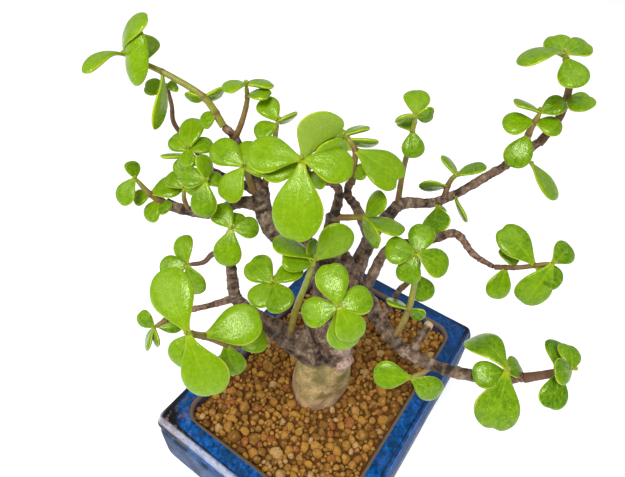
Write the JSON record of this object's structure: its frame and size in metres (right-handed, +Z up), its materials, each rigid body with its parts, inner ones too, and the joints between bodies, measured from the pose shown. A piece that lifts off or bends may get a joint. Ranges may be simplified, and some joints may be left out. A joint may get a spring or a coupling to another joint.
{
  "type": "jade bonsai",
  "caption": "Small succulent bonsai: glossy rounded leaves on bare woody limbs, rooted in clay granules in a rectangular blue-glazed pot on low feet.",
  "frame": {"origin": "middle of the pot's base, on the surface that its feet stand on", "axes": "+Z up, X along the pot's long side, Y across it; the plant's front looks towards -X and a little -Y"},
  "size_m": [0.1497, 0.173, 0.1986],
  "materials": {
    "glaze": "gloss, mottled cobalt and navy glaze that breaks brown at the edges",
    "granules": "matt, dusty",
    "bark": "rough bark",
    "leaf": "glossy leaf skin with a paler edge and fine pale specks",
    "screen": "matt"
  },
  "bodies": {
    "root": {"pot": "glaze", "drain_screen_1": "screen", "drain_screen_2": "screen", "soil": "granules", "trunk_and_branches": "bark", "shoot_apex": "leaf", "shoot_apex_right": "leaf", "shoot_inner": "leaf", "shoot_fan": "leaf", "shoot_front_left": "leaf", "shoot_front": "leaf", "shoot_low_right": "leaf", "shoot_right_front": "leaf", "shoot_right_end": "leaf", "shoot_right_middle": "leaf", "shoot_bare_twig_tip": "leaf", "shoot_back_hanging": "leaf", "shoot_centre": "leaf", "shoot_back_tall": "leaf", "shoot_back_fork": "leaf", "shoot_back_drop": "leaf", "shoot_far_round": "leaf", "shoot_far_hanging": "leaf", "shoot_far_tall": "leaf", "shoot_middle_end": "leaf", "shoot_tall_side": "leaf", "shoot_crown_side": "leaf", "shoot_tall": "leaf", "shoot_grey_tip": "leaf", "shoot_grey_side": "leaf", "shoot_crown_front": "leaf", "shoot_brown_up": "leaf", "shoot_brown_end": "leaf", "shoot_brown_side": "leaf", "shoot_left_top": "leaf", "shoot_left_side": "leaf", "shoot_left_low": "leaf"}
  },
  "joints": []
}
